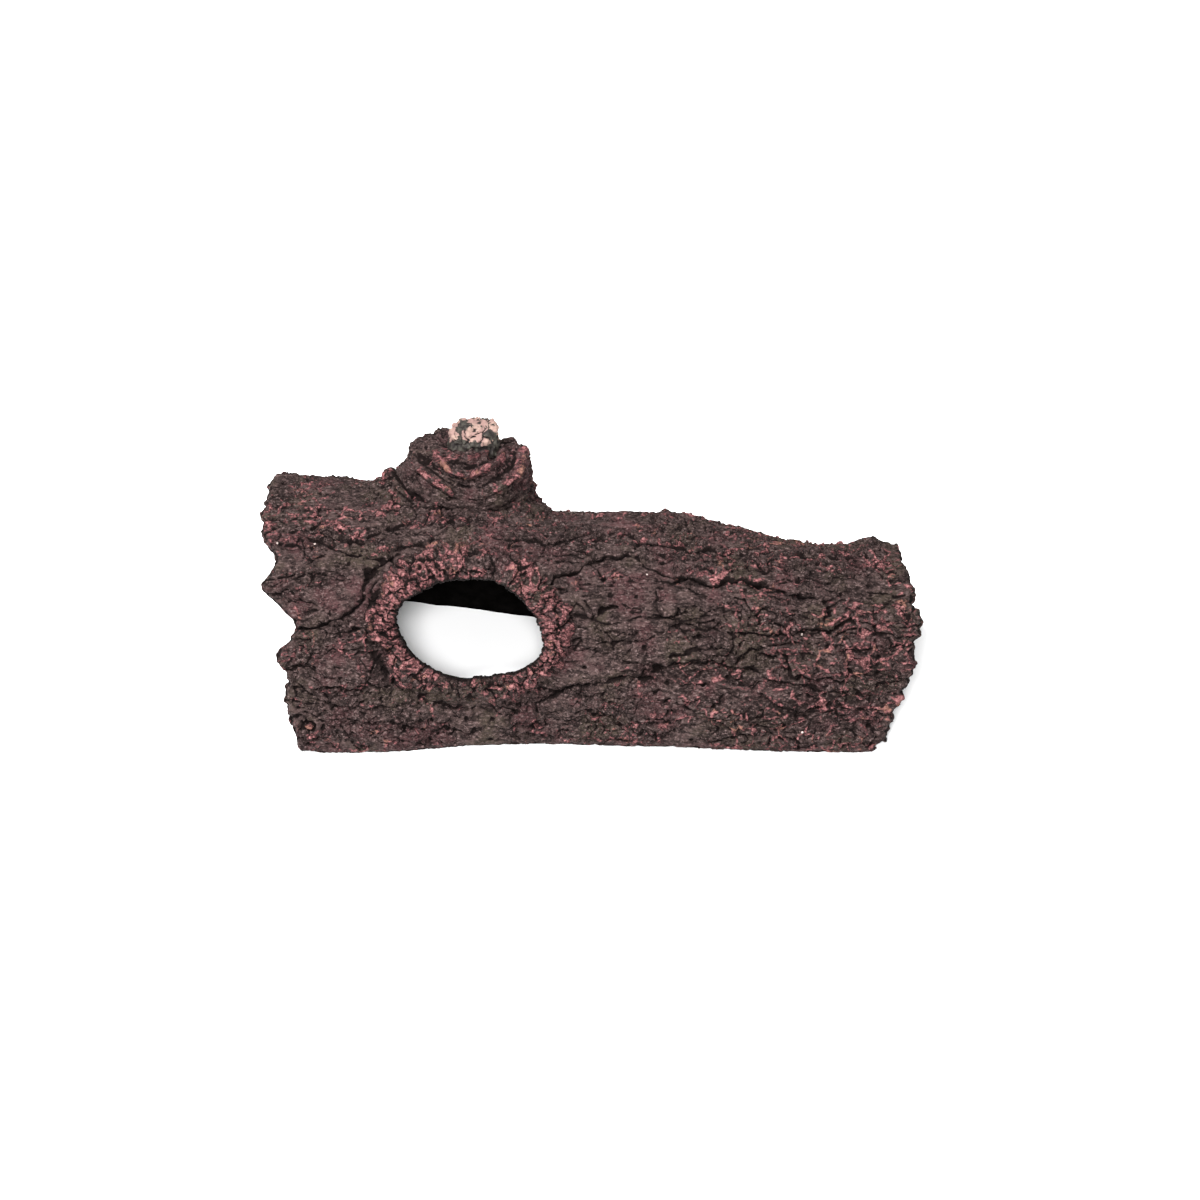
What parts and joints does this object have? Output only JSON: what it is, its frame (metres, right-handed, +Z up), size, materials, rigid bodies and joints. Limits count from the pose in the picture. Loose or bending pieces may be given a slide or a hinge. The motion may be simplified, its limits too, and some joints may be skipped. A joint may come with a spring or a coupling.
{
  "type": "aquarium log cave ornament",
  "caption": "Hollow cast-resin log cave with an open base, two broken open ends, an oval swim-through window in a raised knot collar, and a broken branch stump on top.",
  "frame": {"origin": "centre of the bounding box's base, on the surface the log stands on", "axes": "+X along the log towards its thin end, +Y towards the back, away from the window, +Z up"},
  "size_m": [0.2, 0.0928, 0.083],
  "materials": {
    "bark": "matt painted resin, dark taupe bark with black cracks and a dull red dry-brushed on the ridges",
    "knot_bark": "matt painted resin, brown with dull red and tan dry-brushing on its lumps",
    "stump_bark": "matt painted resin, dark taupe with reddish arcs along the broken grain",
    "heartwood": "matt painted resin, cream-pink patches over dark grey-green pits"
  },
  "bodies": {
    "root": {"log_shell": "bark", "knot_collar": "knot_bark", "branch_stump": "stump_bark", "heartwood_tip": "heartwood"}
  },
  "joints": []
}
